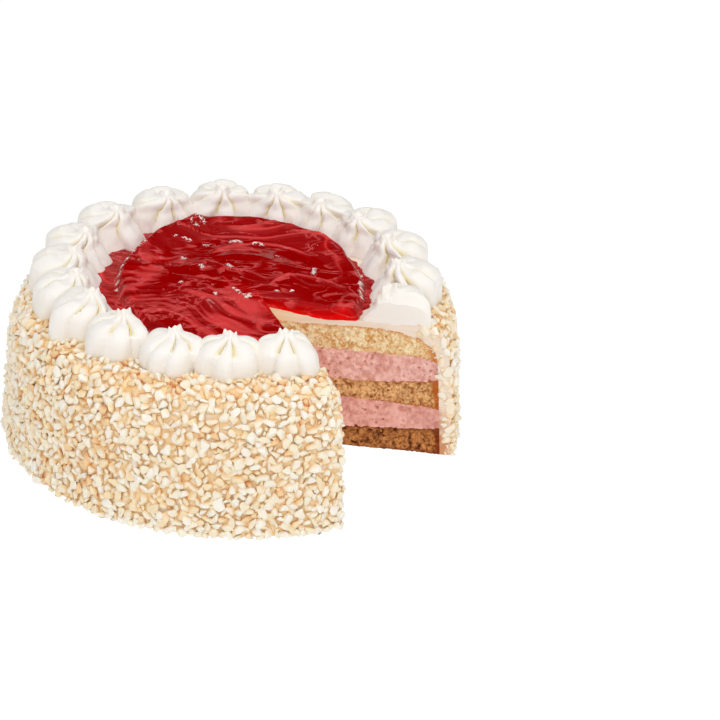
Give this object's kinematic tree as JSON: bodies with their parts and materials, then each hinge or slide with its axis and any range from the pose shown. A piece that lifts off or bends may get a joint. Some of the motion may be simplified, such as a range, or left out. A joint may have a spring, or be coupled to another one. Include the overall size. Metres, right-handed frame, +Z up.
{
  "type": "raspberry layer cake",
  "caption": "Round layer cake with sponge, raspberry cream, a nut-coated cream side, a jelly top and a ring of piped rosettes, with one slice cut out.",
  "frame": {"origin": "on the floor at the middle of the cake's round base", "axes": "+Z up along the cake's axis; the missing slice opens between +X and -Y, and the picture looks along +Y from above"},
  "size_m": [0.218, 0.2181, 0.0844],
  "materials": {
    "sponge": "open golden crumb with a browned edge",
    "raspberry_cream": "soft matt cream with fine dark specks",
    "whipped_cream": "smooth satin piped cream",
    "nut_coat": "chopped pale and toasted nuts pressed into cream",
    "jelly": "wet, glossy, clear red jelly"
  },
  "bodies": {
    "root": {"sponge_bottom": "sponge", "raspberry_cream_lower": "raspberry_cream", "sponge_middle": "sponge", "raspberry_cream_upper": "raspberry_cream", "sponge_top": "sponge", "cream_coat": "nut_coat", "raspberry_jelly": "jelly", "rosette_01": "whipped_cream", "rosette_02": "whipped_cream", "rosette_03": "whipped_cream", "rosette_04": "whipped_cream", "rosette_05": "whipped_cream", "rosette_06": "whipped_cream", "rosette_07": "whipped_cream", "rosette_08": "whipped_cream", "rosette_09": "whipped_cream", "rosette_10": "whipped_cream", "rosette_11": "whipped_cream", "rosette_12": "whipped_cream", "rosette_13": "whipped_cream", "rosette_14": "whipped_cream", "rosette_15": "whipped_cream", "rosette_16": "whipped_cream", "rosette_17": "whipped_cream"}
  },
  "joints": []
}
